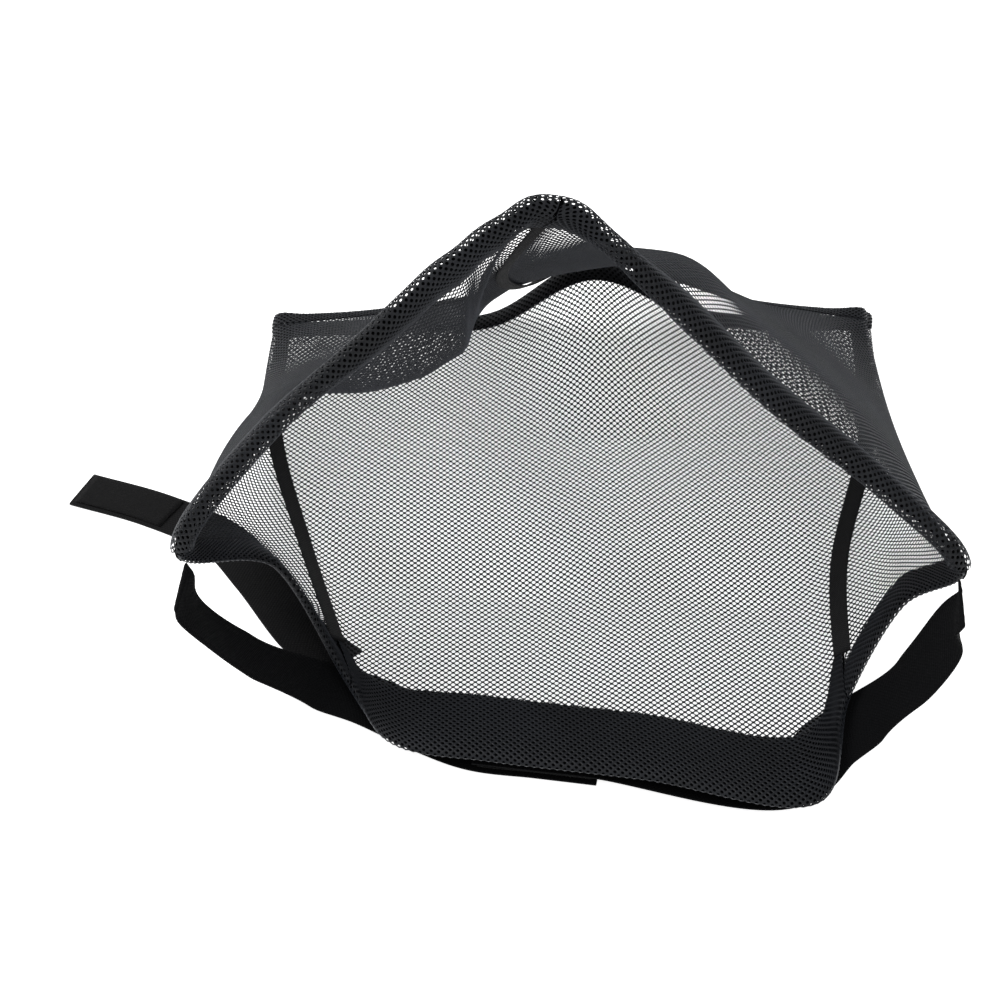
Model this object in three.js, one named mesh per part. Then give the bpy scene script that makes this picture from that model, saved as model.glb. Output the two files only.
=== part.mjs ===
// A horse fly mask of stiff coated mesh, lying on the outside of its face panel.
// +X runs across the face, +Y from the brow to the nose, +Z up from the surface it lies on.
import * as THREE from 'three';

// Driving dimensions, in millimetres.
const HALF_SPAN = 175; // from the middle of the face to an ear corner
const FACE_LENGTH = 350; // from the brow edge to the nose edge
const THROAT_HEIGHT = 200; // from the face panel up to the throat edge
const MESH_THICKNESS = 1.2;
const HEM_THICKNESS = 1.6;
const BROW_HEM_WIDTH = 46;
const CHEEK_HEM_WIDTH = 26; // round the ears and along the throat
const NOSE_HEM_WIDTH = 13;
const SEAM_TAPE_WIDTH = 12;
const SEAM_TAPE_THICKNESS = 1.0;
const SEAM_TAPE_CLEARANCE = 2.6; // from the panels, whose facets don't line up with it
const CROWN_STRAP_WIDTH = 30;
const JAW_STRAP_WIDTH = 25;
const WEBBING_THICKNESS = 1.6;
const FASTENER_THICKNESS = 0.9; // one layer of hook or loop tape
const FASTENER_LENGTH = 52;
const FASTENER_MARGIN = 2; // webbing left bare beside the tape
const TAB_LENGTH = 30; // a sewn webbing patch that anchors a strap
const CLEARANCE = 0.3; // between faces that touch on the real mask
const FACET_CLEARANCE = 0.9; // the same, where two pieces' facets don't line up
const SWING_GAP = 2.5; // between a swinging strap and the rim it hangs from
const SWERVE_LEFT = 9; // how far towards the nose each crown strap swerves as it hangs
const SWERVE_RIGHT = -8;
const JOIN_SHARE = 0.3; // where the two straps join, from left to right under the brow
const BROW_TUCK = 0.7; // how far a strap tucks under the brow, in strap widths
const BROW_OVERRUN = 0.18; // past the near brow rib, in shares of the way inward

// How a crown strap falls from its corner, from top to bottom. Each point is a share of
// [the way inward, the way back to the brow, the swerve, the drop].
const CROWN_FALL = [
  [0.08, 0, 0, 0.27],
  [0.3, 0, 0.5, 0.66],
  [0.6, 0, 1, 0.96],
  [0.85, 0.2, 1, 0.998],
];

// How the jaw strap lies, from its sewn end to its free end. Each point is [across, along,
// up], in millimetres from the end of the left face seam, with up counted from the floor.
const JAW_ROUTE = [
  [-6, 26, 0.5],
  [-14, 33, 0.3],
  [-26, 45, 0.2],
  [-52, 86, 0],
  [-73, 114, 0],
  [-109, 136, 0],
  [-149, 152, 0],
];

// The brow rests on the straps and tapes under it, and each cheek folds over the layers of its
// hem at the nose. Both rises are in percent of THROAT_HEIGHT.
const BROW_UP = (1000 * WEBBING_THICKNESS) / THROAT_HEIGHT;
const FOLD_LAYERS = MESH_THICKNESS + FACET_CLEARANCE + HEM_THICKNESS;
const FOLD_UP = (150 * FOLD_LAYERS) / THROAT_HEIGHT;

// The ribs run from the head opening (rim) over two points to the nose edge. Each point is
// [across, along, up] in percent of HALF_SPAN, FACE_LENGTH and THROAT_HEIGHT. They go round
// the mask from the throat seam, down the left cheek, over the face and up the right cheek.
const RIBS = {
  throat: [[-1, 0, 99], [-17, 10, 70], [-12, 31, 38], [6, 52, 23.5]],
  leftArchTop: [[-27, -7.5, 94], [-28, 5.5, 51], [-28, 29, 32], [-24, 52, 9]],
  leftArch: [[-50, -15, 80.5], [-51, -1.5, 48], [-53, 27.5, 26], [-57, 50.5, 5]],
  leftArchLow: [[-75, -22, 63], [-80, -0.5, 44], [-77, 25.5, 20], [-80, 49.5, 4.5]],
  leftCorner: [[-97.5, -28.5, 39], [-97, -4, 25], [-90, 24.5, 12], [-89.5, 49.5, 5]],
  leftEar: [[-77, -17.5, 17.5], [-88, -4, 10.5], [-91.5, 25, 5], [-92, 50, FOLD_UP]],
  leftSeam: [[-56, -33.5, 0.81 * BROW_UP], [-74, -3, 2], [-88, 24.5, 0.5], [-89.5, 50.5, 0]],
  browLeft: [[-43.5, -44.5, BROW_UP], [-58, -8.5, 0], [-66, 22, 0], [-62, 51.5, 0]],
  browMidLeft: [[-18, -47.5, BROW_UP], [-22, -10, 0], [-24, 21.5, 0], [-24, 52.5, 1]],
  browMid: [[20, -50.5, BROW_UP], [17, -12, 0], [12, 20.5, 0], [9, 52.5, 19]],
  browRight: [[62, -54.5, BROW_UP], [58, -12, 0], [56, 20.5, 0], [45, 52.5, 2]],
  rightSeam: [[73, -36.5, 0.94 * BROW_UP], [77, -8, 2], [91, 23, 0.5], [93.5, 52.5, 0]],
  rightEar: [[88, -26, 19], [92, -5.5, 10.5], [94.5, 24.5, 5], [95.5, 52, FOLD_UP]],
  rightCorner: [[100, -31, 38], [98, -7, 24], [94, 23, 12], [93, 51, 5]],
  rightArchLow: [[82, -26.5, 52], [77, -3, 46], [74, 24.5, 27], [82, 51, 4.5]],
  rightArch: [[54, -17, 63.5], [51.5, 3.5, 61], [49, 27, 40], [56, 51.5, 7]],
  rightArchTop: [[22, -7, 84], [27, 11, 72], [26, 31.5, 44], [30, 52, 15]],
};
const RIB_NAMES = Object.keys(RIBS);
const RIB_COUNT = RIB_NAMES.length;
const LIE_HEIGHT = MESH_THICKNESS / 2; // the panel's middle, where it lies flat
const ROW_COUNT = RIBS.throat.length;
const STEPS_PER_RIB = 3; // facets from one rib to the next
const STEPS_ALONG = 8; // facets along a rib between its two hems
const STEPS_HEM = 2; // facets across a rim hem
const STEPS_PANEL = STEPS_HEM + STEPS_ALONG + 1;
const STEPS_CROWN_STRAP = 26; // facets along each strap
const STEPS_JAW_STRAP = 20;
const STEPS_FASTENER = 5;
const STEPS_TAB = [4, 3]; // across and along
const LENGTH_STEPS = 8; // chords that measure a rib
const TURN_REACH = 0.002; // half the span that a turn is measured over
const NORMAL_REACH = 0.004; // half the span that a sheet's normal is taken over

const rows = makeRows();
const mask = new THREE.Group();
addPanels();
addHems();
addSeamTapes();
addCrownStraps();
addJawStrap();
centreOnFloor(mask);

// One closed curve round the mask for each point of the ribs.
function makeRows() {
  const curves = [];
  for (let row = 0; row < ROW_COUNT; row += 1) {
    const points = RIB_NAMES.map((name) => ribPoint(name, row));
    curves.push(new THREE.CatmullRomCurve3(points, true, 'catmullrom', 0.5));
  }
  return curves;
}

function ribPoint(name, row) {
  const [across, along, up] = RIBS[name][row];
  const x = (across * HALF_SPAN) / 100;
  const y = (along * FACE_LENGTH) / 100;
  const z = LIE_HEIGHT + (up * THROAT_HEIGHT) / 100;
  return new THREE.Vector3(x, y, z);
}

// The turn of a rib round the mask, from 0 at the throat seam to 1 back at it.
function turnOf(name) {
  return RIB_NAMES.indexOf(name) / RIB_COUNT;
}

// The middle of the mesh at a turn round the mask and a share of the way to the nose.
function skinPoint(turn, share) {
  const around = ((turn % 1) + 1) % 1;
  const rib = new THREE.CatmullRomCurve3(rows.map((row) => row.getPoint(around)));
  const point = rib.getPoint(THREE.MathUtils.clamp(share, 0, 1));
  point.z = Math.max(point.z, LIE_HEIGHT);
  return point;
}

function ribLength(turn) {
  let length = 0;
  let last = skinPoint(turn, 0);
  for (let step = 1; step <= LENGTH_STEPS; step += 1) {
    const next = skinPoint(turn, step / LENGTH_STEPS);
    length += next.distanceTo(last);
    last = next;
  }
  return length;
}

// How much turn makes one millimetre at this place.
function turnPerMillimetre(turn, share) {
  const before = skinPoint(turn - TURN_REACH, share);
  const after = skinPoint(turn + TURN_REACH, share);
  return (2 * TURN_REACH) / after.distanceTo(before);
}

// A closed sheet bent onto pointAt(a, b), with a and b from 0 to 1. A positive lift moves it
// to the side that a-direction cross b-direction points to: the inside, on the mask's skin.
function bentSheet(pointAt, thickness, stepsA, stepsB, lift = 0) {
  const vertices = [];
  for (const side of [-0.5, 0.5]) {
    for (let j = 0; j <= stepsB; j += 1) {
      for (let i = 0; i <= stepsA; i += 1) {
        const point = pointAt(i / stepsA, j / stepsB);
        const normal = sheetNormal(pointAt, i / stepsA, j / stepsB);
        point.addScaledVector(normal, lift + side * thickness);
        vertices.push(point.x, point.y, point.z);
      }
    }
  }
  const geometry = new THREE.BufferGeometry();
  geometry.setAttribute('position', new THREE.Float32BufferAttribute(vertices, 3));
  geometry.setIndex(sheetFaces(stepsA, stepsB));
  geometry.computeVertexNormals();
  return geometry;
}

function sheetNormal(pointAt, a, b) {
  const alongA = pointAt(a + NORMAL_REACH, b).sub(pointAt(a - NORMAL_REACH, b));
  const alongB = pointAt(a, b + NORMAL_REACH).sub(pointAt(a, b - NORMAL_REACH));
  return alongA.cross(alongB).normalize();
}

// Triangles for a lower grid, an upper grid and the walls between their edges.
function sheetFaces(stepsA, stepsB) {
  const row = stepsA + 1;
  const upper = row * (stepsB + 1);
  const faces = [];
  for (let j = 0; j < stepsB; j += 1) {
    for (let i = 0; i < stepsA; i += 1) {
      const corner = j * row + i;
      const across = corner + 1;
      const along = corner + row;
      const far = along + 1;
      faces.push(corner, far, across, corner, along, far);
      faces.push(upper + corner, upper + across, upper + far);
      faces.push(upper + corner, upper + far, upper + along);
    }
  }
  const edge = [];
  for (let i = 0; i < stepsA; i += 1) edge.push(i);
  for (let j = 0; j < stepsB; j += 1) edge.push(j * row + stepsA);
  for (let i = stepsA; i > 0; i -= 1) edge.push(stepsB * row + i);
  for (let j = stepsB; j > 0; j -= 1) edge.push(j * row);
  edge.forEach((from, index) => {
    const to = edge[(index + 1) % edge.length];
    faces.push(from, to, upper + to, from, upper + to, upper + from);
  });
  return faces;
}

function addPart(name, geometry, material) {
  const mesh = new THREE.Mesh(geometry, material());
  mesh.name = name;
  mask.add(mesh);
}

function meshFabric() {
  return new THREE.MeshStandardMaterial({ color: 0x2a2d33, roughness: 0.62, metalness: 0 });
}

function hemFabric() {
  return new THREE.MeshStandardMaterial({ color: 0x17191e, roughness: 0.7, metalness: 0 });
}

function webbing() {
  return new THREE.MeshStandardMaterial({ color: 0x0b0c0f, roughness: 0.85, metalness: 0 });
}

function fastenerTape() {
  return new THREE.MeshStandardMaterial({ color: 0x121316, roughness: 0.95, metalness: 0 });
}

// A piece of the skin from one turn to another, short of each by half a clearance. Its
// facets line up with those of every other piece of the skin.
function skinPatch(from, to, shareAt, thickness, stepsB, lift) {
  const stepsA = Math.round((to - from) * RIB_COUNT * STEPS_PER_RIB);
  const place = (a, b) => {
    const turn = from + (to - from) * a;
    const share = shareAt(turn, b);
    const trim = (0.5 - a) * FACET_CLEARANCE * turnPerMillimetre(turn, share);
    return skinPoint(turn + trim, share);
  };
  return bentSheet(place, thickness, stepsA, stepsB, lift);
}

// The share of a rib at b from 0 to 1, with whole facets under each hem and even ones between.
function shareAlong(turn, b, hemWidth) {
  const length = ribLength(turn);
  const start = hemWidth / length;
  const end = 1 - NOSE_HEM_WIDTH / length;
  const step = b * STEPS_PANEL;
  const past = step - STEPS_HEM;
  if (past < 0) return (start * step) / STEPS_HEM;
  if (past > STEPS_ALONG) return end + (1 - end) * (past - STEPS_ALONG);
  return start + ((end - start) * past) / STEPS_ALONG;
}

function addPanels() {
  const leftSeam = turnOf('leftSeam');
  const rightSeam = turnOf('rightSeam');
  const panels = [
    ['cheek_panel_left', 0, leftSeam, CHEEK_HEM_WIDTH],
    ['face_panel', leftSeam, rightSeam, BROW_HEM_WIDTH],
    ['cheek_panel_right', rightSeam, 1, CHEEK_HEM_WIDTH],
  ];
  for (const [name, from, to, hemWidth] of panels) {
    const alongRib = (turn, b) => shareAlong(turn, b, hemWidth);
    const sheet = skinPatch(from, to, alongRib, MESH_THICKNESS, STEPS_PANEL, 0);
    addPart(name, sheet, meshFabric);
  }
}

// Hems of doubled mesh lie on the inside of the panels.
function addHems() {
  const lift = MESH_THICKNESS / 2 + FACET_CLEARANCE / 2 + HEM_THICKNESS / 2;
  const rimHems = [
    ['throat_hem_left', 0, turnOf('leftCorner'), CHEEK_HEM_WIDTH],
    ['ear_hem_left', turnOf('leftCorner'), turnOf('leftSeam'), CHEEK_HEM_WIDTH],
    ['brow_hem', turnOf('leftSeam'), turnOf('rightSeam'), BROW_HEM_WIDTH],
    ['ear_hem_right', turnOf('rightSeam'), turnOf('rightCorner'), CHEEK_HEM_WIDTH],
    ['throat_hem_right', turnOf('rightCorner'), 1, CHEEK_HEM_WIDTH],
  ];
  for (const [name, from, to, width] of rimHems) {
    const fromRim = (turn, b) => (b * width) / ribLength(turn);
    addPart(name, skinPatch(from, to, fromRim, HEM_THICKNESS, STEPS_HEM, lift), hemFabric);
  }
  const noseHems = [
    ['nose_hem_left', 0, turnOf('leftSeam')],
    ['nose_hem_face', turnOf('leftSeam'), turnOf('rightSeam')],
    ['nose_hem_right', turnOf('rightSeam'), 1],
  ];
  const fromNose = (turn, b) => 1 - ((1 - b) * NOSE_HEM_WIDTH) / ribLength(turn);
  for (const [name, from, to] of noseHems) {
    addPart(name, skinPatch(from, to, fromNose, HEM_THICKNESS, 1, lift), hemFabric);
  }
}

// A tape covers each seam on the inside, between the hem at the rim and the one at the nose.
function addSeamTapes() {
  const lift = MESH_THICKNESS / 2 + SEAM_TAPE_CLEARANCE + SEAM_TAPE_THICKNESS / 2;
  const tapes = [
    ['throat_seam_tape', 0, CHEEK_HEM_WIDTH],
    ['face_seam_tape_left', turnOf('leftSeam'), BROW_HEM_WIDTH],
    ['face_seam_tape_right', turnOf('rightSeam'), BROW_HEM_WIDTH],
  ];
  for (const [name, seam, rimHem] of tapes) {
    const length = ribLength(seam);
    const start = (rimHem + HEM_THICKNESS) / length;
    const end = 1 - (NOSE_HEM_WIDTH + 3 * HEM_THICKNESS) / length;
    const place = (a, b) => {
      const share = start + (end - start) * b;
      const turn = seam + (a - 0.5) * SEAM_TAPE_WIDTH * turnPerMillimetre(seam, share);
      return skinPoint(turn, share);
    };
    addPart(name, bentSheet(place, SEAM_TAPE_THICKNESS, 2, STEPS_ALONG, lift), hemFabric);
  }
}

// A flat strap along a curve, its width level and square to the run. from and to are shares
// of the curve, and lift raises the strap off the curve.
function strap(curve, width, thickness, from, to, steps, lift = 0) {
  const place = (a, b) => {
    const along = THREE.MathUtils.clamp(from + (to - from) * a, 0, 1);
    const overrun = from + (to - from) * a - along;
    const run = curve.getTangentAt(along);
    const side = new THREE.Vector3(-run.y, run.x, 0).normalize();
    const point = curve.getPointAt(along).addScaledVector(run, overrun * curve.getLength());
    return point.addScaledVector(side, (b - 0.5) * width);
  };
  return bentSheet(place, thickness, steps, 1, lift);
}

function smooth(points) {
  return new THREE.CatmullRomCurve3(points.map(([x, y, z]) => new THREE.Vector3(x, y, z)));
}

// The crown strap is in two halves, which overlap under the brow and join by hook and loop
// tape. Each hangs from an ear corner. side is -1 on the left and 1 on the right.
function addCrownStraps() {
  const layer = FASTENER_THICKNESS + CLEARANCE;
  const loopLift = WEBBING_THICKNESS / 2 + CLEARANCE + FASTENER_THICKNESS / 2;
  const lowHeight = WEBBING_THICKNESS * 1.5;
  const highHeight = lowHeight + WEBBING_THICKNESS + 2 * layer + CLEARANCE;
  const left = crownCurve('leftCorner', 'browLeft', lowHeight, SWERVE_LEFT);
  const right = crownCurve('rightCorner', 'browRight', highHeight, SWERVE_RIGHT);
  const straps = [['left', left, 1], ['right', right, -1]];
  for (const [side, curve, face] of straps) {
    const share = FASTENER_LENGTH / curve.getLength();
    const margin = FASTENER_MARGIN / curve.getLength();
    const tapeWidth = CROWN_STRAP_WIDTH - 2 * FASTENER_MARGIN;
    const kind = side === 'left' ? 'loop' : 'hook';
    const body = strap(curve, CROWN_STRAP_WIDTH, WEBBING_THICKNESS, 0, 1, STEPS_CROWN_STRAP);
    const to = 1 - margin;
    const lift = face * loopLift;
    const tape = strap(curve, tapeWidth, FASTENER_THICKNESS, to - share, to, STEPS_FASTENER, lift);
    addPart(`crown_strap_${side}`, body, webbing);
    addPart(`crown_${kind}_tape`, tape, fastenerTape);
  }
  for (const side of ['left', 'right']) {
    addTab(`crown_tab_${side}`, turnOf(`${side}Corner`), CROWN_STRAP_WIDTH);
  }
}

// From in front of an ear corner, down past the ear gap and under the brow to the join.
// swerve moves the hanging stretch towards the nose, to give the ear gap its shape.
function crownCurve(corner, nearBrow, height, swerve) {
  const top = ribPoint(corner, 0);
  const near = ribPoint(nearBrow, 0);
  const joinLeft = ribPoint('browMidLeft', 0);
  const joinRight = ribPoint('browMid', 0);
  const join = joinLeft.clone().lerp(joinRight, JOIN_SHARE);
  const inward = Math.sign(-top.x);
  const run = joinRight.sub(joinLeft).normalize();
  run.multiplyScalar(inward * (FASTENER_LENGTH / 2 + FASTENER_MARGIN));
  const front = top.y - CROWN_STRAP_WIDTH / 2 - SWING_GAP;
  const drop = top.z - height;
  const reach = inward * Math.abs(top.x - near.x);
  const tuck = CROWN_STRAP_WIDTH * BROW_TUCK;
  const fall = CROWN_FALL.map(([across, back, swerveShare, down]) => [
    top.x + reach * across,
    front + (near.y - front) * back + swerve * swerveShare,
    top.z - drop * down,
  ]);
  return smooth([
    [top.x + inward * SWING_GAP, front, top.z - SWING_GAP],
    ...fall,
    [near.x + reach * BROW_OVERRUN, near.y + tuck, height],
    [join.x - run.x, join.y - run.y + tuck, height],
    [join.x, join.y + tuck, height],
    [join.x + run.x, join.y + run.y + tuck, height],
  ]);
}

// A webbing patch sewn to the outside of the mesh, inside the rim.
function addTab(name, turn, width) {
  const lift = -(MESH_THICKNESS / 2 + FACET_CLEARANCE + WEBBING_THICKNESS / 2);
  const length = ribLength(turn);
  const place = (a, b) => {
    const share = (FASTENER_MARGIN + b * TAB_LENGTH) / length;
    return skinPoint(turn + (a - 0.5) * width * turnPerMillimetre(turn, share), share);
  };
  const [across, along] = STEPS_TAB;
  addPart(name, bentSheet(place, WEBBING_THICKNESS, across, along, lift), webbing);
}

// The jaw strap hangs from the left face seam and lies out to the left on the floor.
function addJawStrap() {
  const seam = ribPoint('leftSeam', 0);
  const floor = WEBBING_THICKNESS / 2;
  const route = JAW_ROUTE.map(([across, along, up]) => [
    seam.x + across,
    seam.y + along,
    floor + up,
  ]);
  const curve = smooth(route);
  const share = FASTENER_LENGTH / curve.getLength();
  const margin = FASTENER_MARGIN / curve.getLength();
  const tapeWidth = JAW_STRAP_WIDTH - 2 * FASTENER_MARGIN;
  const lift = WEBBING_THICKNESS / 2 + CLEARANCE + FASTENER_THICKNESS / 2;
  const body = strap(curve, JAW_STRAP_WIDTH, WEBBING_THICKNESS, 0, 1, STEPS_JAW_STRAP);
  const to = 1 - margin;
  const tape = strap(curve, tapeWidth, FASTENER_THICKNESS, to - share, to, STEPS_FASTENER, lift);
  addPart('jaw_strap', body, webbing);
  addPart('jaw_hook_tape', tape, fastenerTape);
}

// The origin is under the middle of the whole piece, on the surface it lies on.
function centreOnFloor(group) {
  const box = new THREE.Box3().setFromObject(group, true);
  group.position.set(-(box.min.x + box.max.x) / 2, -(box.min.y + box.max.y) / 2, -box.min.z);
}

export default mask;
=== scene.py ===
import bpy
import math
import numpy as np
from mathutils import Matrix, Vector


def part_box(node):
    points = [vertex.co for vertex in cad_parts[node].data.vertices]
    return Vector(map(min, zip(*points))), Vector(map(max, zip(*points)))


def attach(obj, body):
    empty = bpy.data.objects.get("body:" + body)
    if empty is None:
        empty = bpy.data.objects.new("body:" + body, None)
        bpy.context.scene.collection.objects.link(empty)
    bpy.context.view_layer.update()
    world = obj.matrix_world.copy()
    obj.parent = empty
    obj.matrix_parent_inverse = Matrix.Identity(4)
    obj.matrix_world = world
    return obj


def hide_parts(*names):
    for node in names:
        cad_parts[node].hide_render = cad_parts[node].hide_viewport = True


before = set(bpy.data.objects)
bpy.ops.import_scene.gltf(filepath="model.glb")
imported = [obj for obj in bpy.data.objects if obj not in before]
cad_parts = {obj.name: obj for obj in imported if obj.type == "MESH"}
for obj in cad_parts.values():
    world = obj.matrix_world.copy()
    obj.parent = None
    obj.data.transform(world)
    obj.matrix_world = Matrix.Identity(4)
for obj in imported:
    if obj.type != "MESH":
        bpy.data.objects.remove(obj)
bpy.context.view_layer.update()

# Sizes in millimetres, as in the CAD model.
MM = 0.001
HALF_SPAN = 175
FACE_LENGTH = 350
THROAT_HEIGHT = 200
MESH_THICKNESS = 1.2
CHEEK_HEM_WIDTH = 26
BROW_HEM_WIDTH = 46
NOSE_HEM_WIDTH = 13
CROWN_STRAP_WIDTH = 30
JAW_STRAP_WIDTH = 25
WEBBING_THICKNESS = 1.6
FASTENER_THICKNESS = 0.9
FASTENER_LENGTH = 52
FASTENER_MARGIN = 2
TAB_LENGTH = 30
TAB_HALF_TURN = 0.011
TAB_LIFTS = (-2.6, -1.4)  # the patch's outer and inner face, outside the mesh
SEAM_TAPE_THICKNESS = 1.0
SEAM_TAPE_LIFT = 1.6  # the tape's middle, inside the mesh
SEAM_TAPE_INTO_NOSE_HEM = 6
SEAM_TAPE_STEP = 3.0
CLEARANCE = 0.3
SWING_GAP = 2.5
SWERVE_LEFT = 9  # how far towards the nose each crown strap swerves as it hangs
SWERVE_RIGHT = -8
JOIN_SHARE = 0.3  # where the two straps join, from left to right under the brow
BROW_TUCK = 0.7  # how far a strap tucks under the brow, in strap widths
BROW_OVERRUN = 0.18  # past the near brow rib, in shares of the way inward

# How a crown strap falls from its corner, in shares of [the way inward, the way back to the
# brow, the swerve, the drop].
CROWN_FALL = [
    [0.08, 0, 0, 0.27],
    [0.3, 0, 0.5, 0.66],
    [0.6, 0, 1, 0.96],
    [0.85, 0.2, 1, 0.998],
]

# How the jaw strap lies: [across, along, up] in millimetres from the end of the left face seam.
JAW_ROUTE = [
    [-6, 26, 0.5],
    [-14, 33, 0.3],
    [-26, 45, 0.2],
    [-52, 86, 0],
    [-73, 114, 0],
    [-109, 136, 0],
    [-149, 152, 0],
]
LIE_HEIGHT = MESH_THICKNESS / 2

# The open mesh: the steps from hole to hole. Every other row is shifted by half a step.
CELL_ACROSS = 3.4
CELL_ALONG = 3.6
HOLE_SHARE = 0.53  # how much of a cell's half width the hole takes
HEM_HOLE_SHARE = 0.42  # the same in the hems
CORNER_SHARE = 0.17  # how blunt the hole's four corners are
THREAD_RISE = 0.42  # how far the knots stand above the rims of the holes
HEM_THREAD_RISE = 0.35
HOLE_CORNERS = 8
PANEL_TUCK = 5  # how far a panel's mesh goes in under its hem
FLAT_STEP = 4.0  # the step for measuring a panel's flat size

# The CAD model's ribs, from the head opening to the nose edge: [across, along, up] in percent
# of HALF_SPAN, FACE_LENGTH and THROAT_HEIGHT, going round the mask from the throat seam.
RIBS = {
    "throat": [[-1, 0, 99], [-17, 10, 70], [-12, 31, 38], [6, 52, 23.5]],
    "leftArchTop": [[-27, -7.5, 94], [-28, 5.5, 51], [-28, 29, 32], [-24, 52, 9]],
    "leftArch": [[-50, -15, 80.5], [-51, -1.5, 48], [-53, 27.5, 26], [-57, 50.5, 5]],
    "leftArchLow": [[-75, -22, 63], [-80, -0.5, 44], [-77, 25.5, 20], [-80, 49.5, 4.5]],
    "leftCorner": [[-97.5, -28.5, 39], [-97, -4, 25], [-90, 24.5, 12], [-89.5, 49.5, 5]],
    "leftEar": [[-77, -17.5, 17.5], [-88, -4, 10.5], [-91.5, 25, 5], [-92, 50, 2.775]],
    "leftSeam": [[-56, -33.5, 6.48], [-74, -3, 2], [-88, 24.5, 0.5], [-89.5, 50.5, 0]],
    "browLeft": [[-43.5, -44.5, 8], [-58, -8.5, 0], [-66, 22, 0], [-62, 51.5, 0]],
    "browMidLeft": [[-18, -47.5, 8], [-22, -10, 0], [-24, 21.5, 0], [-24, 52.5, 1]],
    "browMid": [[20, -50.5, 8], [17, -12, 0], [12, 20.5, 0], [9, 52.5, 19]],
    "browRight": [[62, -54.5, 8], [58, -12, 0], [56, 20.5, 0], [45, 52.5, 2]],
    "rightSeam": [[73, -36.5, 7.52], [77, -8, 2], [91, 23, 0.5], [93.5, 52.5, 0]],
    "rightEar": [[88, -26, 19], [92, -5.5, 10.5], [94.5, 24.5, 5], [95.5, 52, 2.775]],
    "rightCorner": [[100, -31, 38], [98, -7, 24], [94, 23, 12], [93, 51, 5]],
    "rightArchLow": [[82, -26.5, 52], [77, -3, 46], [74, 24.5, 27], [82, 51, 4.5]],
    "rightArch": [[54, -17, 63.5], [51.5, 3.5, 61], [49, 27, 40], [56, 51.5, 7]],
    "rightArchTop": [[22, -7, 84], [27, 11, 72], [26, 31.5, 44], [30, 52, 15]],
}
RIB_NAMES = list(RIBS)
RIB_COUNT = len(RIB_NAMES)
ROW_COUNT = 4
GRID_PER_RIB = 12  # fine ribs to each of the CAD model's
GRID_ALONG = 81  # points along each fine rib

# A hem is folded round its rim as the outline of a thin wing, with a tape inside it.
FOLD_POINTS = 25  # from the stitches to the rim
FOLD_CROWDING = 1.6  # how strongly they crowd towards the rim
FOLD_GAP = 0.5  # from the skin to the mesh of a flat hem
WING = (0.2969, -0.1260, -0.3516, 0.2843, -0.1036)
TAPE_HALF = 0.35
TAPE_INSET = 0.8  # from a hem's stitches
TAPE_ROWS = 12
TAPE_UNDER_HEM = 14  # how far a seam tape runs in under the hem at the rim


# ---------------------------------------------------------------- the skin
def rib_point(name, row):
    across, along, up = RIBS[name][row]
    return np.array([
        across * HALF_SPAN / 100,
        along * FACE_LENGTH / 100,
        LIE_HEIGHT + up * THROAT_HEIGHT / 100,
    ])


def turn_of(name):
    return RIB_NAMES.index(name) / RIB_COUNT


def cubic(start, end, leave, arrive, t):
    """The point at t of the cubic with these ends and these end slopes."""
    bend = -3 * start + 3 * end - 2 * leave - arrive
    twist = 2 * start - 2 * end + leave + arrive
    return start + t * (leave + t * (bend + t * twist))


def row_points(row, turns):
    """Points on the closed curve round the mask through one point of each rib."""
    points = np.array([rib_point(name, row) for name in RIB_NAMES])
    place = (np.asarray(turns) % 1) * RIB_COUNT
    first = np.floor(place).astype(int)
    t = (place - first)[..., None]
    before, start, end, after = (points[(first + k) % RIB_COUNT] for k in (-1, 0, 1, 2))
    return cubic(start, end, (end - before) / 2, (after - start) / 2, t)


def through(points, share):
    """Points on centripetal curves through points[0], points[1], ..., with share from 0 to 1."""
    points = np.array([2 * points[0] - points[1], *points, 2 * points[-1] - points[-2]])
    spans = len(points) - 3
    place = np.clip(share, 0, 1) * spans
    first = np.minimum(np.floor(place), spans - 1).astype(int)
    t = (place - first)[..., None]
    result = np.zeros(np.broadcast_shapes(points.shape[1:], t.shape))
    for span in range(spans):
        p0, p1, p2, p3 = points[span:span + 4]
        gaps = [np.linalg.norm(b - a, axis=-1, keepdims=True) ** 0.5
                for a, b in ((p0, p1), (p1, p2), (p2, p3))]
        leave = (p1 - p0) / gaps[0] - (p2 - p0) / (gaps[0] + gaps[1]) + (p2 - p1) / gaps[1]
        arrive = (p2 - p1) / gaps[1] - (p3 - p1) / (gaps[1] + gaps[2]) + (p3 - p2) / gaps[2]
        found = cubic(p1, p2, leave * gaps[1], arrive * gaps[1], t)
        result = np.where((first == span)[..., None], found, result)
    return result


def unit(vectors):
    return vectors / np.maximum(np.linalg.norm(vectors, axis=-1, keepdims=True), 1e-9)


def grid_normals(points):
    """The normals of a grid of points, towards first direction cross second."""
    return unit(np.cross(np.gradient(points, axis=0), np.gradient(points, axis=1)))


def skin_grid(start, end):
    """Fine ribs from one turn to another: points and normals, which point to the inside."""
    count = int(round((end - start) * RIB_COUNT * GRID_PER_RIB)) + 1
    step = 1 / (RIB_COUNT * GRID_PER_RIB)
    turns = start + step * np.arange(-1, count + 1)
    shares = np.linspace(0, 1, GRID_ALONG)
    rows = [row_points(row, turns)[:, None, :] for row in range(ROW_COUNT)]
    points = through(rows, np.broadcast_to(shares[None, :], (len(turns), GRID_ALONG)))
    points[..., 2] = np.maximum(points[..., 2], LIE_HEIGHT)
    normals = grid_normals(points)
    wave = relief(turns[:, None], shares[None, :])[..., None]
    points = points + normals * wave
    points[..., 2] = np.maximum(points[..., 2], LIE_HEIGHT)
    normals = grid_normals(points)
    return points[1:-1], normals[1:-1]


def bump(x, middle, width):
    return np.exp(-((x - middle) / width) ** 2)


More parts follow.
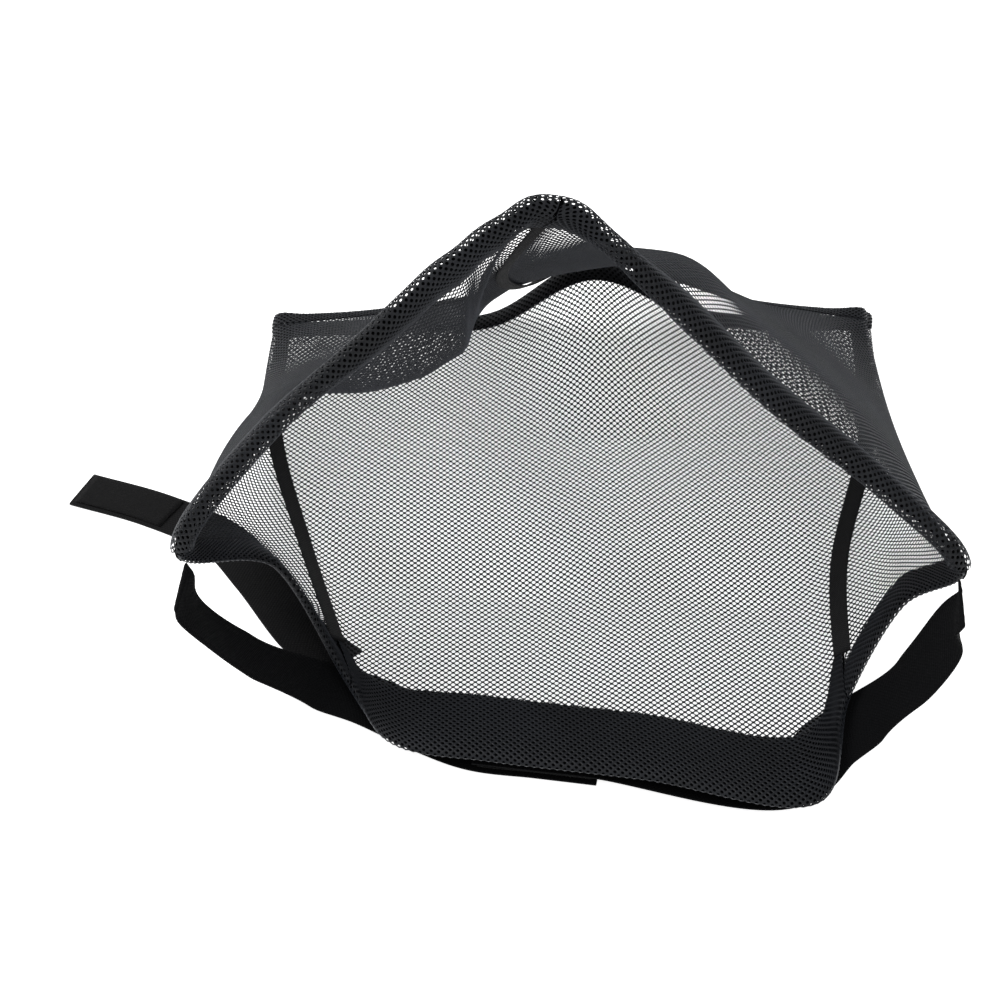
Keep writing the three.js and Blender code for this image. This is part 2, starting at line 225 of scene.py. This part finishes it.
def relief(turn, share):
    """How far the cloth ripples towards the inside, in millimetres: slack waves all over, and
    closer folds that run down from the throat's apex."""
    around = (turn + 0.5) % 1 - 0.5  # 0 at the throat seam
    slack = 0.7 * np.sin(2 * math.pi * (9 * turn + 1.3 * share)) * np.sin(math.pi * share)
    near_apex = bump(around, 0.02, 0.05) * bump(share, 0.3, 0.3)
    folds = 1.6 * np.cos(2 * math.pi * 34 * around) * near_apex
    return slack + folds


def alongs(points, axis):
    """The distance of each point of a grid from the first one along an axis."""
    steps = np.linalg.norm(np.diff(points, axis=axis), axis=-1)
    pad = [(0, 0), (0, 0)]
    pad[axis] = (1, 0)
    return np.pad(np.cumsum(steps, axis=axis), pad)


# ---------------------------------------------------------------- cloth laid out flat
class Cloth:
    """A grid of ribs laid out flat: t runs up each rib from its first point, and s runs
    across the ribs from the middle one. Both are in millimetres."""

    STEP = 1.5

    def __init__(self, points, normals):
        lengths = alongs(points, 1)
        self.t = np.arange(0, lengths[:, -1].max() + self.STEP, self.STEP)
        data = np.concatenate([points, normals], axis=-1)
        rows = np.stack([
            [np.interp(self.t, lengths[i], data[i, :, c]) for c in range(6)]
            for i in range(len(points))
        ], axis=1)
        rows = np.moveaxis(rows, 0, -1)  # ribs, t, channels
        rest = lengths[:, -1:] - self.t[None, :]
        across = alongs(rows[..., :3], 0)
        across = across - across[len(points) // 2][None, :]
        self.s = np.arange(across.min(), across.max() + self.STEP, self.STEP)
        table = []
        for k in range(len(self.t)):
            row = [np.interp(self.s, across[:, k], rows[:, k, c]) for c in range(6)]
            row.append(np.interp(self.s, across[:, k], rest[:, k]))
            row.append(self.s - across[0, k])
            row.append(across[-1, k] - self.s)
            table.append(np.stack(row, axis=-1))
        self.table = np.array(table)

    def at(self, s, t):
        """Channels at places: 3 of point, 3 of normal, then the distances left up the rib,
        to the first rib and to the last."""
        i = np.clip((s - self.s[0]) / self.STEP, 0, len(self.s) - 1.001)
        j = np.clip((t - self.t[0]) / self.STEP, 0, len(self.t) - 1.001)
        i0, j0 = i.astype(int), j.astype(int)
        fi, fj = (i - i0)[..., None], (j - j0)[..., None]
        low = self.table[j0, i0] * (1 - fi) + self.table[j0, i0 + 1] * fi
        high = self.table[j0 + 1, i0] * (1 - fi) + self.table[j0 + 1, i0 + 1] * fi
        return low * (1 - fj) + high * fj

    def lifted(self, s, t, lift):
        found = self.at(s, t)
        return found[..., :3] + unit(found[..., 3:6]) * lift


def place_of_model():
    """How far the CAD model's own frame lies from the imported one, from the face panel's box."""
    points, _ = skin_grid(turn_of("leftSeam"), turn_of("rightSeam"))
    low, high = (np.array(corner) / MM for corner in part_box("face_panel"))
    middle = (low + high) / 2
    mine = (points.min(axis=(0, 1)) + points.max(axis=(0, 1))) / 2
    return np.array([middle[0] - mine[0], middle[1] - mine[1], 0])


SHIFT = place_of_model()


# ---------------------------------------------------------------- meshes
def make_piece(name, vertices, faces, body, slot, material, weave=None):
    """An object of these points, in millimetres, and faces of three or four corners."""
    mesh = bpy.data.meshes.new(name)
    vertices = (np.asarray(vertices, float).reshape(-1, 3) + SHIFT) * MM
    sizes = np.concatenate([np.full(len(group), group.shape[1]) for group in faces if len(group)])
    corners = np.concatenate([group.ravel() for group in faces if len(group)])
    mesh.vertices.add(len(vertices))
    mesh.vertices.foreach_set("co", vertices.astype(np.float32).ravel())
    mesh.loops.add(len(corners))
    mesh.loops.foreach_set("vertex_index", corners.astype(np.int32))
    mesh.polygons.add(len(sizes))
    starts = np.concatenate([[0], np.cumsum(sizes)[:-1]])
    mesh.polygons.foreach_set("loop_start", starts.astype(np.int32))
    if weave is not None:
        kept = mesh.attributes.new("weave", "FLOAT_VECTOR", "POINT")
        kept.data.foreach_set("vector", np.asarray(weave, np.float32).ravel())
    mesh.update(calc_edges=True)
    mesh.validate()
    mesh.shade_smooth()
    mesh.materials.append(material)
    piece = bpy.data.objects.new(name, mesh)
    bpy.context.scene.collection.objects.link(piece)
    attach(piece, body)
    return piece


def net(cloth, keep, rise, hole):
    """The open mesh on a cloth, as vertices and faces. Each hole has eight corners, and each
    thread is a low roof whose ridge runs from knot to knot. keep says which holes are there."""
    half = np.array([CELL_ACROSS, CELL_ALONG]) / 2
    i_span = np.arange(math.floor(cloth.s[0] / half[0]) - 1, math.ceil(cloth.s[-1] / half[0]) + 2)
    j_span = np.arange(0, math.ceil(cloth.t[-1] / half[1]) + 2)
    i, j = (x.ravel() for x in np.meshgrid(i_span, j_span))
    even = (i + j) % 2 == 0
    i, j = i[even], j[even]
    stays = keep(cloth.at(i * half[0], j * half[1]))
    i, j = i[stays], j[stays]
    wide, blunt = half * hole, half * CORNER_SHARE
    ring = np.array([
        [wide[0], -blunt[1]], [wide[0], blunt[1]], [blunt[0], wide[1]], [-blunt[0], wide[1]],
        [-wide[0], blunt[1]], [-wide[0], -blunt[1]], [-blunt[0], -wide[1]], [blunt[0], -wide[1]],
    ])
    s = i[:, None] * half[0] + ring[None, :, 0]
    t = j[:, None] * half[1] + ring[None, :, 1]
    rims = cloth.lifted(s, t, 0).reshape(-1, 3)
    spread = len(i_span) + 4
    steps = np.array([[1, 0], [0, 1], [-1, 0], [0, -1]])
    knot_row = j[:, None] + steps[None, :, 1]
    knot_column = i[:, None] + steps[None, :, 0] - i_span[0] + 1
    codes = knot_row * spread + knot_column
    known, knot = np.unique(codes.ravel(), return_inverse=True)
    knot = knot.reshape(-1, 4) + len(rims)
    knot_i, knot_j = known % spread + i_span[0] - 1, known // spread
    knots = cloth.lifted(knot_i * half[0], knot_j * half[1], rise)
    first = np.arange(len(i)) * HOLE_CORNERS
    ends, sides = [], []
    for k in range(4):
        near, far = first + 2 * k, first + 2 * k + 1
        after = first + (2 * k + 2) % HOLE_CORNERS
        ends.append(np.stack([near, knot[:, k], far], axis=1))
        sides.append(np.stack([far, knot[:, k], knot[:, (k + 1) % 4], after], axis=1))
    return np.concatenate([rims, knots]), [np.concatenate(sides), np.concatenate(ends)]


def thick_sheet(points, normals, low, high):
    """A closed sheet on a grid, from low to high along the normals."""
    rows, columns = points.shape[:2]
    count = rows * columns
    grid = np.arange(count).reshape(rows, columns)
    corners = [grid[:-1, :-1], grid[:-1, 1:], grid[1:, 1:], grid[1:, :-1]]
    lower = np.stack(corners, axis=-1).reshape(-1, 4)
    edge = np.concatenate([grid[:-1, 0], grid[-1, :-1], grid[:0:-1, -1], grid[0, :0:-1]])
    ahead = np.roll(edge, -1)
    wall = np.stack([edge, ahead, ahead + count, edge + count], axis=-1)
    vertices = np.concatenate([points + normals * low, points + normals * high]).reshape(-1, 3)
    return vertices, [np.concatenate([lower, lower[:, ::-1] + count, wall])]


def section(width, thickness, ribs=0, crown=0.0, points=40):
    """A strap's section: a rounded flat outline, with shallow ribs on both faces."""
    angles = np.linspace(0, 2 * math.pi, points, endpoint=False)
    power = 0.35  # 1 would be an ellipse and 0 a box
    across = np.sign(np.cos(angles)) * np.abs(np.cos(angles)) ** power
    up = np.sign(np.sin(angles)) * np.abs(np.sin(angles)) ** power
    ridge = 1 + crown * np.cos(across * math.pi * ribs)
    return across * width / 2, up * thickness / 2 * ridge


def sweep(line, side, normal, outline):
    """A closed body swept along a line, as vertices, faces and each point's place in the weave."""
    across, up = outline
    count, points = len(line), len(across)
    sideways = side[:, None, :] * across[None, :, None]
    upwards = normal[:, None, :] * up[None, :, None]
    body = line[:, None, :] + sideways + upwards
    grid = np.arange(count * points).reshape(count, points)
    nxt = np.roll(grid, -1, axis=1)
    walls = np.stack([grid[:-1], nxt[:-1], nxt[1:], grid[1:]], axis=-1).reshape(-1, 4)
    far = np.concatenate([[0], np.cumsum(np.linalg.norm(np.diff(line, axis=0), axis=1))])
    weave = np.zeros((count, points, 3))
    weave[..., 0] = across[None, :]
    weave[..., 1] = far[:, None]
    weave[..., 2] = up[None, :]
    caps = {3: [], 4: []}
    for ring, turned in ((grid[0], False), (grid[-1], True)):
        for k in range(points // 2):
            corner = [ring[k], ring[(points - k) % points], ring[points - k - 1], ring[k + 1]]
            apart = sorted(set(corner), key=corner.index)
            caps[len(apart)].append(apart[::-1] if turned else apart)
    faces = [np.concatenate([walls, np.array(caps[4])]), np.array(caps[3])]
    return body.reshape(-1, 3), faces, weave.reshape(-1, 3)


# ---------------------------------------------------------------- materials
def new_material(name, colour, roughness, specular=0.5):
    material = bpy.data.materials.new(name)
    material.use_nodes = True
    nodes = material.node_tree.nodes
    shader = nodes["Principled BSDF"]
    shader.inputs["Base Color"].default_value = (*colour, 1)
    shader.inputs["Roughness"].default_value = roughness
    shader.inputs["Specular IOR Level"].default_value = specular
    return material, nodes, material.node_tree.links, shader


def mixed_colour(nodes, links, factor, dark, light):
    mix = nodes.new("ShaderNodeMix")
    mix.data_type = "RGBA"
    mix.inputs["A"].default_value = (*dark, 1)
    mix.inputs["B"].default_value = (*light, 1)
    links.new(factor, mix.inputs["Factor"])
    return mix.outputs["Result"]


def noise(nodes, links, vector, scale, detail=2.0):
    texture = nodes.new("ShaderNodeTexNoise")
    texture.inputs["Scale"].default_value = scale
    texture.inputs["Detail"].default_value = detail
    links.new(vector, texture.inputs["Vector"])
    return texture.outputs["Fac"]


def spread_value(nodes, links, value, low, high):
    """A noise value, mostly from 0.3 to 0.7, spread from low to high."""
    change = nodes.new("ShaderNodeMapRange")
    change.inputs["From Min"].default_value = 0.3
    change.inputs["From Max"].default_value = 0.7
    change.inputs["To Min"].default_value = low
    change.inputs["To Max"].default_value = high
    links.new(value, change.inputs["Value"])
    return change.outputs["Result"]


def add_bump(nodes, links, shader, height, strength, distance):
    node = nodes.new("ShaderNodeBump")
    node.inputs["Strength"].default_value = strength
    node.inputs["Distance"].default_value = distance
    links.new(height, node.inputs["Height"])
    links.new(node.outputs["Normal"], shader.inputs["Normal"])


def thread_material(name, dark, light, roughness, sheen, specular):
    """Coated thread: dark, with a soft sheen and slight unevenness."""
    material, nodes, links, shader = new_material(name, dark, roughness, specular)
    place = nodes.new("ShaderNodeTexCoord").outputs["Object"]
    cloudy = noise(nodes, links, place, 28)
    fine = noise(nodes, links, place, 2600)
    colour = mixed_colour(nodes, links, spread_value(nodes, links, cloudy, 0, 1), dark, light)
    links.new(colour, shader.inputs["Base Color"])
    rough = spread_value(nodes, links, fine, roughness - 0.1, roughness + 0.12)
    links.new(rough, shader.inputs["Roughness"])
    shader.inputs["Sheen Weight"].default_value = sheen
    shader.inputs["Sheen Roughness"].default_value = 0.45
    shader.inputs["Sheen Tint"].default_value = (0.75, 0.82, 1.0, 1)
    add_bump(nodes, links, shader, fine, 0.35, 0.0002)
    return material


def weave_material(name, dark, light, roughness, sheen, yarns_across, yarns_along, depth):
    """Woven webbing or tape. The weave runs along the strap, by the attribute kept with it."""
    material, nodes, links, shader = new_material(name, dark, roughness, 0.12)
    place = nodes.new("ShaderNodeAttribute")
    place.attribute_name = "weave"
    split = nodes.new("ShaderNodeSeparateXYZ")
    links.new(place.outputs["Vector"], split.inputs[0])

    def wave(source, per_mm):
        scaled = nodes.new("ShaderNodeMath")
        scaled.operation = "MULTIPLY"
        scaled.inputs[1].default_value = per_mm * 2 * math.pi
        links.new(source, scaled.inputs[0])
        turned = nodes.new("ShaderNodeMath")
        turned.operation = "SINE"
        links.new(scaled.outputs[0], turned.inputs[0])
        return turned.outputs[0]

    both = nodes.new("ShaderNodeMath")
    both.operation = "MULTIPLY"
    links.new(wave(split.outputs[0], yarns_across), both.inputs[0])
    links.new(wave(split.outputs[1], yarns_along), both.inputs[1])
    level = nodes.new("ShaderNodeMath")
    level.operation = "MULTIPLY_ADD"
    level.inputs[1].default_value = 0.5
    level.inputs[2].default_value = 0.5
    links.new(both.outputs[0], level.inputs[0])
    colour = mixed_colour(nodes, links, level.outputs[0], dark, light)
    links.new(colour, shader.inputs["Base Color"])
    where = nodes.new("ShaderNodeTexCoord").outputs["Object"]
    fuzz = noise(nodes, links, where, 1400)
    rough = spread_value(nodes, links, fuzz, roughness - 0.08, roughness + 0.06)
    links.new(rough, shader.inputs["Roughness"])
    shader.inputs["Sheen Weight"].default_value = sheen
    shader.inputs["Sheen Roughness"].default_value = 0.6
    add_bump(nodes, links, shader, level.outputs[0], 0.7, depth)
    return material


def tape_material(name, dark, light):
    """The fuzzy face of hook or loop tape."""
    material, nodes, links, shader = new_material(name, dark, 0.95, 0.05)
    where = nodes.new("ShaderNodeTexCoord").outputs["Object"]
    tufts = noise(nodes, links, where, 1900, 4)
    colour = mixed_colour(nodes, links, spread_value(nodes, links, tufts, 0, 1), dark, light)
    links.new(colour, shader.inputs["Base Color"])
    shader.inputs["Sheen Weight"].default_value = 0.08
    add_bump(nodes, links, shader, tufts, 1.0, 0.0006)
    return material


NET = thread_material("mesh_thread", (0.004, 0.0048, 0.0062), (0.009, 0.0105, 0.014), 0.5, 0.1, 0.3)
# The hems are the panel's mesh cloth turned over, but their thread is painted darker than the
# panel's: painted shade of the hems' folded layers.
SHADED_HEM_NET = thread_material(
    "hem_thread_painted_shade", (0.0026, 0.0032, 0.0045), (0.007, 0.0082, 0.011), 0.5, 0.06, 0.22)
BACKING = thread_material(
    "hem_backing", (0.0008, 0.0009, 0.0012), (0.0018, 0.002, 0.0025), 0.9, 0.0, 0.03)
SEAM_TAPE = weave_material(
    "seam_tape", (0.002, 0.0021, 0.0026), (0.006, 0.0062, 0.0072), 0.75, 0.05, 0.6, 0.6, 0.0003)
WEBBING = weave_material(
    "webbing", (0.0008, 0.0009, 0.0012), (0.0022, 0.0024, 0.003), 0.9, 0.0, 0.45, 0.55, 0.0004)
JAW_WEBBING = weave_material(
    "jaw_webbing", (0.0035, 0.0035, 0.0038), (0.008, 0.008, 0.0085), 0.85, 0.02, 0.45, 0.55, 0.0004)
HOOK_TAPE = tape_material("fastener", (0.0025, 0.0025, 0.0027), (0.008, 0.008, 0.0085))


# ---------------------------------------------------------------- panels
def nose_up(points, normals):
    """The same grid with its ribs running from the nose edge to the rim."""
    return points[:, ::-1], normals[:, ::-1]


def add_panel(name, start, end, hem_width):
    """A panel of open mesh, with its flat width and length and its flat area, in metres."""
    cloth = Cloth(*nose_up(*skin_grid(start, end)))

    def keep(found):
        rest, first, last = found[..., 6], found[..., 7], found[..., 8]
        return (rest > hem_width - PANEL_TUCK) & (first > 0) & (last > 0)

    vertices, faces = net(cloth, keep, THREAD_RISE, HOLE_SHARE)
    piece = make_piece(f"{name}_net", vertices, faces, "mask", "mesh_fabric", NET)
    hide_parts(name)
    holes = len(faces[0]) // 4
    across = np.arange(cloth.s[0], cloth.s[-1], FLAT_STEP)
    along = np.arange(0, cloth.t[-1], FLAT_STEP)
    s, t = (x.ravel() for x in np.meshgrid(across, along))
    inside = keep(cloth.at(s, t))
    flat = (np.ptp(s[inside]) * MM, np.ptp(t[inside]) * MM)
    return piece, flat, holes * CELL_ACROSS * CELL_ALONG / 2 * MM**2


LEFT_SEAM, RIGHT_SEAM = turn_of("leftSeam"), turn_of("rightSeam")
face_panel = add_panel("face_panel", LEFT_SEAM, RIGHT_SEAM, BROW_HEM_WIDTH)
left_panel = add_panel("cheek_panel_left", 0, LEFT_SEAM, CHEEK_HEM_WIDTH)
right_panel = add_panel("cheek_panel_right", RIGHT_SEAM, 1, CHEEK_HEM_WIDTH)


# ---------------------------------------------------------------- hems
def wing(share):
    """Half the height of a hem's section: round at the rim (0) and thin at its stitches (1)."""
    x = np.clip(share, 0, 1)
    root, first, second, third, fourth = WING
    return 10 * (root * np.sqrt(x) + first * x + second * x**2 + third * x**3 + fourth * x**4)


def edge_grid(start, end, from_nose):
    """Fine ribs that run from the edge with the hem: the rim, or else the nose edge."""
    points, normals = skin_grid(start, end)
    return nose_up(points, normals) if from_nose else (points, normals)


def hem_grid(start, end, width, plump, from_nose):
    """The turned-over mesh of a hem: down its outer side, round the rim and up its inner side."""
    points, normals = edge_grid(start, end, from_nose)
    lengths = alongs(points, 1)
    x = np.linspace(1, 0, FOLD_POINTS) ** FOLD_CROWDING
    down = np.concatenate([x, x[-2::-1]])
    lift = wing(down) * plump + FOLD_GAP
    lift[:FOLD_POINTS] = -lift[:FOLD_POINTS]
    lift[FOLD_POINTS - 1] = 0
    grid = []
    for i in range(len(points)):
        place = [np.interp(down * width, lengths[i], points[i, :, c]) for c in range(3)]
        normal = [np.interp(down * width, lengths[i], normals[i, :, c]) for c in range(3)]
        grid.append(np.stack(place, axis=-1) + unit(np.stack(normal, axis=-1)) * lift[:, None])
    grid = np.array(grid)
    grid[..., 2] = np.maximum(grid[..., 2], LIE_HEIGHT / 2)
    return grid, grid_normals(grid)


def laid(points, normals, near, far, count):
    """Part of a grid, between two distances up its ribs."""
    lengths = alongs(points, 1)
    place = np.linspace(near, far, count)
    both = np.concatenate([points, normals], axis=-1)
    rows = np.array([
        np.stack([np.interp(place, lengths[i], both[i, :, c]) for c in range(6)], axis=-1)
        for i in range(len(points))
    ])
    return rows[..., :3], unit(rows[..., 3:6])


def add_hem(name, start, end, width, plump, bare, from_nose=False):
    """A hem of turned-over mesh with a tape inside. plump is how full it is, and bare is how
    much of it, beside its edge, has no tape, so that light comes through."""
    cloth = Cloth(*hem_grid(start, end, width, plump, from_nose))

    def keep(found):
        return (found[..., 6] > 0) & (found[..., 7] > 0) & (found[..., 8] > 0)

    mesh = net(cloth, keep, HEM_THREAD_RISE, HEM_HOLE_SHARE)
    ribs = edge_grid(start, end, from_nose)
    tape = thick_sheet(*laid(*ribs, bare, width - TAPE_INSET, TAPE_ROWS), -TAPE_HALF, TAPE_HALF)
    piece = make_piece(f"{name}_mesh", *mesh, "mask", "hem_mesh", SHADED_HEM_NET)
    inside = make_piece(f"{name}_tape", *tape, "mask", "hem_mesh", BACKING)
    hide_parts(name)
    return [piece, inside]


def add_hems():
    """Every hem, by name. Each row is a name, two turns, a width, plump and bare."""
    left_corner, right_corner = turn_of("leftCorner"), turn_of("rightCorner")
    rims = [
        ("throat_hem_left", 0, left_corner, CHEEK_HEM_WIDTH, 4.5, 1.2),
        ("ear_hem_left", left_corner, LEFT_SEAM, CHEEK_HEM_WIDTH, 1.2, 1.5),
        ("brow_hem", LEFT_SEAM, RIGHT_SEAM, BROW_HEM_WIDTH, 1.6, 2),
        ("ear_hem_right", RIGHT_SEAM, right_corner, CHEEK_HEM_WIDTH, 1.2, 1.5),
        ("throat_hem_right", right_corner, 1, CHEEK_HEM_WIDTH, 4.5, 1.2),
    ]
    noses = [
        ("nose_hem_left", 0, LEFT_SEAM, NOSE_HEM_WIDTH, 0.8, 1),
        ("nose_hem_face", LEFT_SEAM, RIGHT_SEAM, NOSE_HEM_WIDTH, 0.8, 1),
        ("nose_hem_right", RIGHT_SEAM, 1, NOSE_HEM_WIDTH, 0.8, 1),
    ]
    made = {}
    for row in rims:
        made[row[0]] = add_hem(*row)
    for row in noses:
        made[row[0]] = add_hem(*row, from_nose=True)
    return made


hems = add_hems()


# ---------------------------------------------------------------- seam tapes
def add_seam_tape(name, turn, rim_hem, width):
    """A tape on the inside of a seam, from under the hem at the rim to the hem at the nose."""
    points, normals = (grid[0] for grid in skin_grid(turn, turn))
    far = np.concatenate([[0], np.cumsum(np.linalg.norm(np.diff(points, axis=0), axis=1))])
    end = far[-1] - NOSE_HEM_WIDTH + SEAM_TAPE_INTO_NOSE_HEM
    place = np.arange(rim_hem - TAPE_UNDER_HEM, end, SEAM_TAPE_STEP)
    line = np.stack([np.interp(place, far, points[:, c]) for c in range(3)], axis=-1)
    normal = unit(np.stack([np.interp(place, far, normals[:, c]) for c in range(3)], axis=-1))
    run = unit(np.gradient(line, axis=0))
    side = unit(np.cross(run, normal))
    outline = section(width, SEAM_TAPE_THICKNESS, 3, 0.1)
    vertices, faces, weave = sweep(line + normal * SEAM_TAPE_LIFT, side, normal, outline)
    piece = make_piece(name + "_cloth", vertices, faces, "mask", "hem_mesh", SEAM_TAPE, weave)
    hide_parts(name)
    return piece


tapes = [
    add_seam_tape("throat_seam_tape", 0, CHEEK_HEM_WIDTH, 6),
    add_seam_tape("face_seam_tape_left", LEFT_SEAM, BROW_HEM_WIDTH, 8),
    add_seam_tape("face_seam_tape_right", RIGHT_SEAM, BROW_HEM_WIDTH, 9),
]


# ---------------------------------------------------------------- straps
def strap_line(points, step=2.5):
    """A smooth curve through the points, at even steps, with its level side direction."""
    fine = through(list(np.array(points, float)), np.linspace(0, 1, 800))
    far = np.concatenate([[0], np.cumsum(np.linalg.norm(np.diff(fine, axis=0), axis=1))])
    place = np.linspace(0, far[-1], int(far[-1] / step) + 1)
    line = np.stack([np.interp(place, far, fine[:, c]) for c in range(3)], axis=-1)
    run = unit(np.gradient(line, axis=0))
    side = unit(np.stack([-run[:, 1], run[:, 0], np.zeros(len(run))], axis=-1))
    return line, side, unit(np.cross(run, side)), place


def crown_points(corner, near_brow, height, swerve):
    """From in front of an ear corner, down past the ear gap and under the brow to the join."""
    top, near = rib_point(corner, 0), rib_point(near_brow, 0)
    join_left, join_right = rib_point("browMidLeft", 0), rib_point("browMid", 0)
    join = join_left + (join_right - join_left) * JOIN_SHARE
    inward = np.sign(-top[0])
    run = unit(join_right - join_left) * inward * (FASTENER_LENGTH / 2 + FASTENER_MARGIN)
    front = top[1] - CROWN_STRAP_WIDTH / 2 - SWING_GAP
    drop = top[2] - height
    reach = inward * abs(top[0] - near[0])
    tuck = CROWN_STRAP_WIDTH * BROW_TUCK
    points = [[top[0] + inward * SWING_GAP, front, top[2] - SWING_GAP]]
    for across, back, swerve_share, down in CROWN_FALL:
        y = front + (near[1] - front) * back + swerve * swerve_share
        points.append([top[0] + reach * across, y, top[2] - drop * down])
    points.append([near[0] + reach * BROW_OVERRUN, near[1] + tuck, height])
    for step in (-1, 0, 1):
        points.append([join[0] + step * run[0], join[1] + step * run[1] + tuck, height])
    return points


def add_strap(name, points, width, body, material, tape_name, tape_face):
    """A webbing strap, with a fastener tape near its end. tape_face is 1 above it and -1 below."""
    line, side, normal, place = strap_line(points)
    outline = section(width, WEBBING_THICKNESS, 7, 0.06, 64)
    vertices, faces, weave = sweep(line, side, normal, outline)
    piece = make_piece(name + "_webbing", vertices, faces, body, "webbing", material, weave)
    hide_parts(name)
    lift = tape_face * (WEBBING_THICKNESS / 2 + CLEARANCE + FASTENER_THICKNESS / 2)
    end = place[-1] - FASTENER_MARGIN
    chosen = (place > end - FASTENER_LENGTH) & (place < end)
    outline = section(width - 2 * FASTENER_MARGIN, FASTENER_THICKNESS)
    middle = (line + normal * lift)[chosen]
    vertices, faces, weave = sweep(middle, side[chosen], normal[chosen], outline)
    tape = make_piece(tape_name + "_cloth", vertices, faces, body, "fastener_tape", HOOK_TAPE, weave)
    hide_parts(tape_name)


LAYER = FASTENER_THICKNESS + CLEARANCE
LOW = WEBBING_THICKNESS * 1.5
HIGH = LOW + WEBBING_THICKNESS + 2 * LAYER + CLEARANCE
add_strap("crown_strap_left", crown_points("leftCorner", "browLeft", LOW, SWERVE_LEFT),
          CROWN_STRAP_WIDTH, "crown_left", WEBBING, "crown_loop_tape", 1)
add_strap("crown_strap_right", crown_points("rightCorner", "browRight", HIGH, SWERVE_RIGHT),
          CROWN_STRAP_WIDTH, "crown_right", WEBBING, "crown_hook_tape", -1)


def jaw_points():
    seam = rib_point("leftSeam", 0)
    floor = WEBBING_THICKNESS / 2
    return [[seam[0] + x, seam[1] + y, floor + z] for x, y, z in JAW_ROUTE]


add_strap("jaw_strap", jaw_points(), JAW_STRAP_WIDTH, "jaw", JAW_WEBBING, "jaw_hook_tape", 1)


def add_tab(name, corner):
    """A webbing patch sewn to the outside of the mesh, inside the rim."""
    turn = turn_of(corner)
    ribs = skin_grid(turn - TAB_HALF_TURN, turn + TAB_HALF_TURN)
    patch = laid(*ribs, FASTENER_MARGIN, FASTENER_MARGIN + TAB_LENGTH, TAPE_ROWS)
    vertices, faces = thick_sheet(*patch, *TAB_LIFTS)
    piece = make_piece(name + "_webbing", vertices, faces, "mask", "webbing", WEBBING)
    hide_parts(name)


add_tab("crown_tab_left", "leftCorner")
add_tab("crown_tab_right", "rightCorner")


# ---------------------------------------------------------------- floor, light and camera
FLOOR_HALF = 6.0  # metres, as are all the sizes from here on
CAMERA_LENS = 79.2
CAMERA_SHIFT = (-0.065, 0.036)
CAMERA_ELEVATION = 42  # degrees
CAMERA_DISTANCE = 1.1
LIGHT_TARGET = (0, 0, 0.05)


def add_stage():
    mesh = bpy.data.meshes.new("floor")
    corners = [(-1, -1), (1, -1), (1, 1), (-1, 1)]
    mesh.from_pydata([(x * FLOOR_HALF, y * FLOOR_HALF, 0) for x, y in corners], [], [(0, 1, 2, 3)])
    floor = bpy.data.objects.new("floor", mesh)
    bpy.context.scene.collection.objects.link(floor)
    material, nodes, links, shader = new_material("floor_white", (0.9, 0.9, 0.9), 0.9, 0.1)
    shader.inputs["Emission Color"].default_value = (1, 1, 1, 1)
    shader.inputs["Emission Strength"].default_value = 0.85
    mesh.materials.append(material)


def add_light(name, place, size, power):
    data = bpy.data.lights.new(name, "AREA")
    data.shape = "DISK"
    data.size = size
    data.energy = power
    light = bpy.data.objects.new(name, data)
    bpy.context.scene.collection.objects.link(light)
    light.location = place
    light.rotation_euler = look(place, LIGHT_TARGET)


def look(place, target):
    """The turn that points a light or the camera from one place to another."""
    return (Vector(target) - Vector(place)).to_track_quat("-Z", "Y").to_euler()


def add_camera():
    data = bpy.data.cameras.new("camera")
    data.sensor_width = 36
    data.lens = CAMERA_LENS
    data.shift_x, data.shift_y = CAMERA_SHIFT
    camera = bpy.data.objects.new("camera", data)
    bpy.context.scene.collection.objects.link(camera)
    aim = SHIFT * MM
    height = math.radians(CAMERA_ELEVATION)
    back, up = CAMERA_DISTANCE * math.cos(height), CAMERA_DISTANCE * math.sin(height)
    camera.location = (aim[0], aim[1] - back, up)
    camera.rotation_euler = look(camera.location, aim)
    bpy.context.scene.camera = camera


add_stage()
add_light("key", (-0.9, 0.5, 1.6), 1.2, 22)
add_light("front", (0.4, -1.2, 1.8), 1.6, 12)
world = bpy.data.worlds.new("studio")
bpy.context.scene.world = world
world.use_nodes = True
backdrop = world.node_tree.nodes["Background"]
backdrop.inputs["Color"].default_value = (1, 1, 1, 1)
backdrop.inputs["Strength"].default_value = 0.5
bpy.context.scene.view_settings.view_transform = "Standard"
add_camera()
